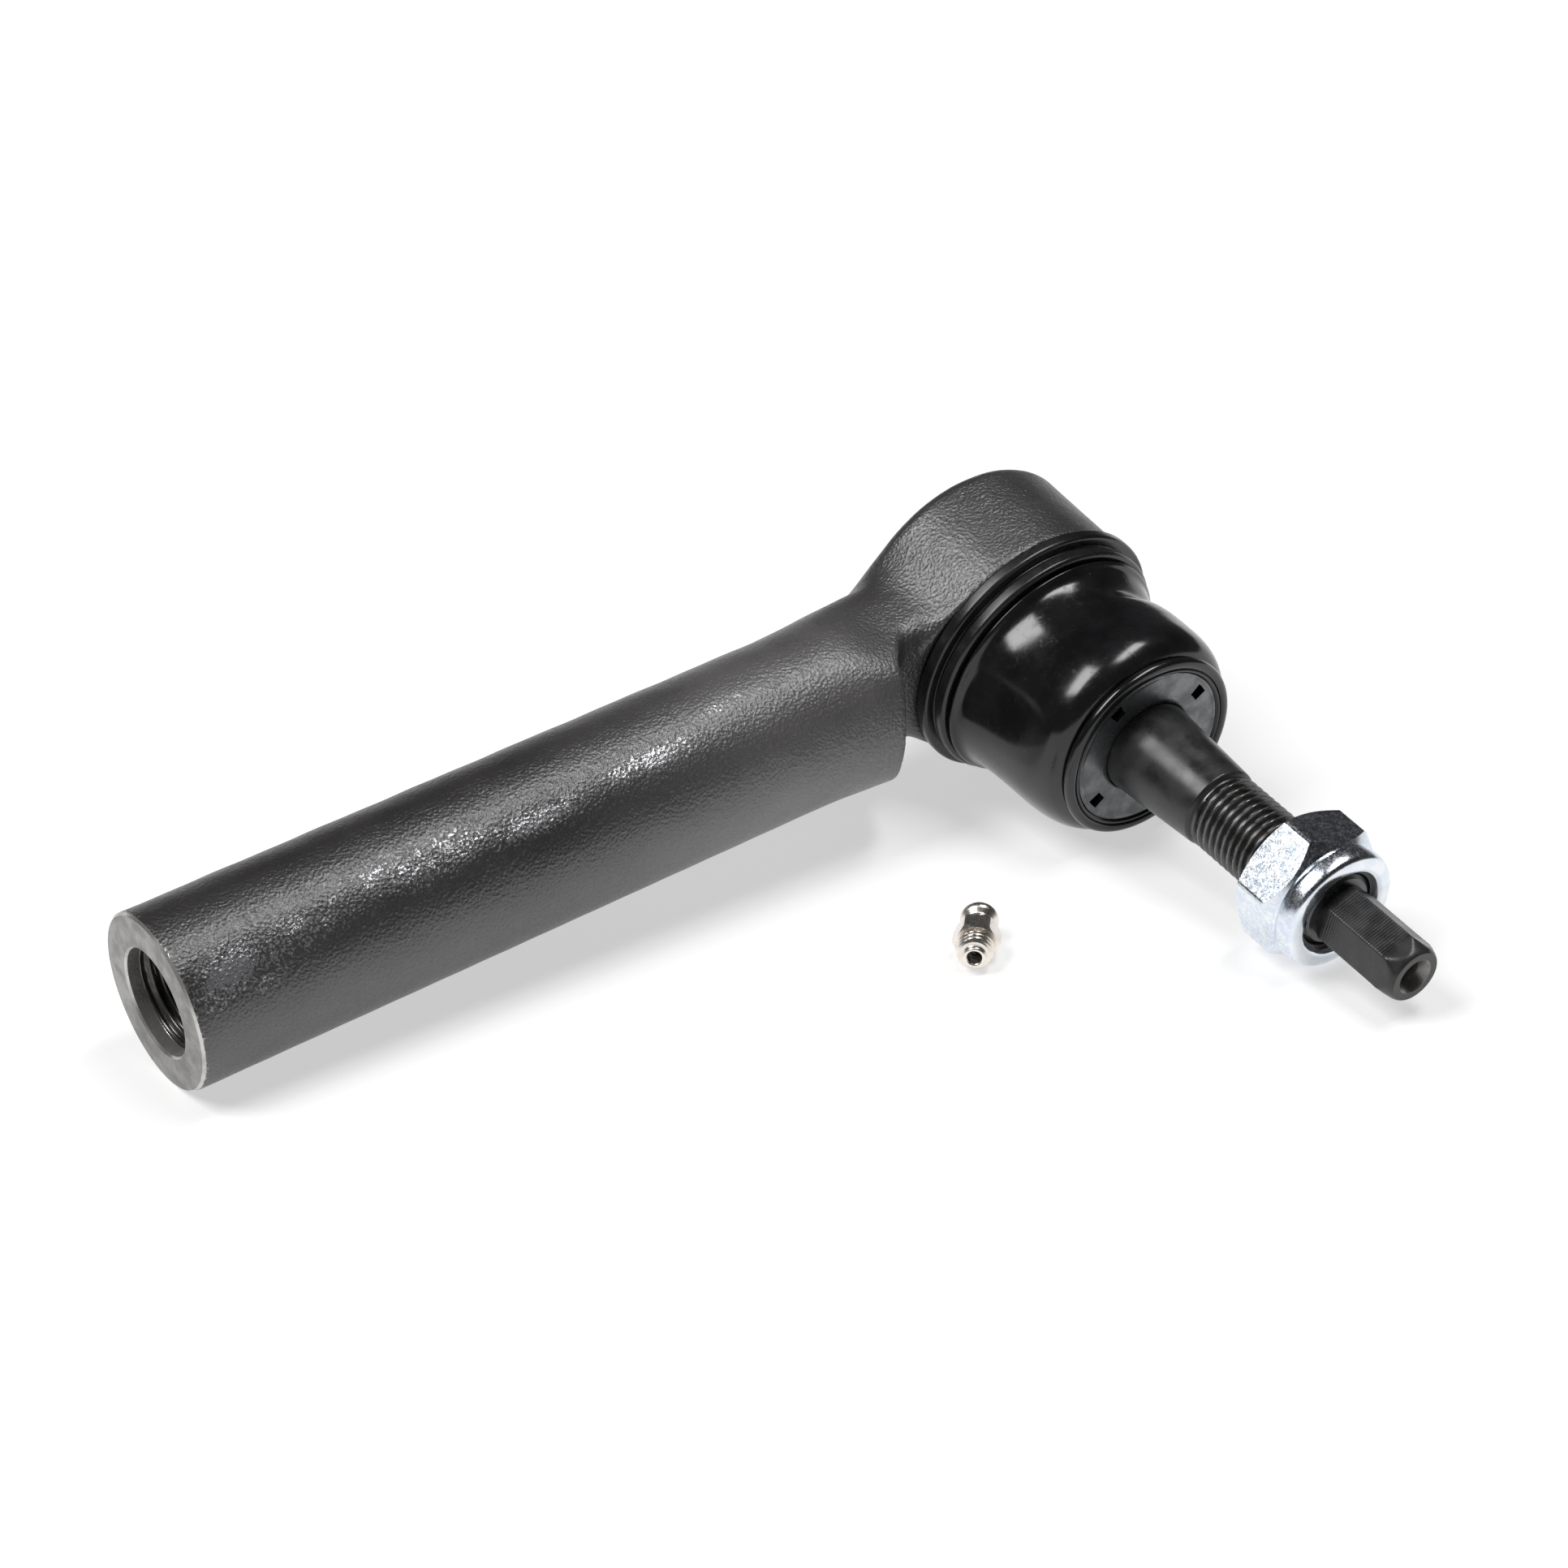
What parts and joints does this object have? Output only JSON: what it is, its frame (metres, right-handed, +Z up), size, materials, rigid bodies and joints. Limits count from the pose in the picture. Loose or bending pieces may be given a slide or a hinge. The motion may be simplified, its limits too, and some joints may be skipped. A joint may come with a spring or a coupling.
{
  "type": "tie rod end",
  "caption": "Outer tie rod end: a forged barrel with a threaded rod socket and an eye that holds a booted ball stud with a lock nut and a grease fitting.",
  "frame": {"origin": "on the rod socket's axis, at the outer end of its thread, 2.5 mm inside the barrel's mouth", "axes": "+Z up from the bench that the part lies on, +X along the barrel towards the eye (the barrel rises 3.5 degrees), so the ball stud points along -Y"},
  "size_m": [0.1934, 0.1259, 0.0512],
  "materials": {
    "housing": "dark phosphate over a forged skin, machined mouth",
    "cover_plate": "dark phosphate, pressed steel",
    "preload_spring": "spring steel, oiled",
    "pressure_cup": "natural acetal",
    "bearing_seat": "natural acetal",
    "ball_stud": "satin black oxide",
    "boot_ring": "gloss black, rubber-coated steel",
    "boot": "gloss black chloroprene",
    "seal_plate": "dark steel, semi-gloss",
    "lock_nut": "bright zinc plate",
    "nylon_insert": "dark nylon",
    "grease_fitting": "nickel plate",
    "check_ball": "polished steel",
    "check_spring": "spring steel"
  },
  "bodies": {
    "forging": {"housing": "housing", "cover_plate": "cover_plate", "preload_spring": "preload_spring", "pressure_cup": "pressure_cup", "bearing_seat": "bearing_seat", "boot_ring": "boot_ring"},
    "boot": {"boot": "boot"},
    "seal": {"seal_plate": "seal_plate"},
    "stud": {"ball_stud": "ball_stud"},
    "nut_ride": {"nylon_insert": "nylon_insert"},
    "nut": {"lock_nut": "lock_nut"},
    "fitting": {"grease_fitting": "grease_fitting", "check_spring": "check_spring"},
    "check": {"check_ball": "check_ball"}
  },
  "joints": [
    {"name": "stud_swing", "type": "hinge", "parent": "forging", "child": "boot", "pos_m": [0.16569, 0, 0.01011], "axis": [-0.0591, -0.2407, 0.9688], "range_deg": [-14.8, 17.2], "deforming": ["boot"]},
    {"name": "stud_nod", "type": "hinge", "parent": "boot", "child": "seal", "pos_m": [0.16569, 0, 0.01011], "axis": [0.9982, -0.0203, 0.0558], "range_deg": [-11.3, 20.7]},
    {"name": "stud_spin", "type": "hinge", "parent": "seal", "child": "stud", "pos_m": [0.16569, 0, 0.01011], "axis": [-0.0111, -0.9868, -0.1613], "continuous": true},
    {"name": "nut_travel", "type": "slide", "parent": "stud", "child": "nut_ride", "axis": [-0.0111, -0.9868, -0.1613], "range_m": [-0.0145, 0.0105]},
    {"name": "nut_turn", "type": "hinge", "parent": "nut_ride", "child": "nut", "pos_m": [0.16482, -0.07816, -0.00267], "axis": [-0.0111, -0.9868, -0.1613], "continuous": true},
    {"name": "fitting_lift", "type": "slide", "parent": "forging", "child": "fitting", "axis": [0, 0, 1], "range_m": [0, 0.06]},
    {"name": "check_press", "type": "slide", "parent": "fitting", "child": "check", "axis": [-0.6743, -0.7385, 0], "range_m": [0, 0.0015], "stiffness_N_per_m": 300, "springref_m": -0.0004, "deforming": ["check_spring"]}
  ],
  "couplings": [
    {"joint": "nut_turn", "follows": "nut_travel", "rad_per_m": 4188.8}
  ]
}
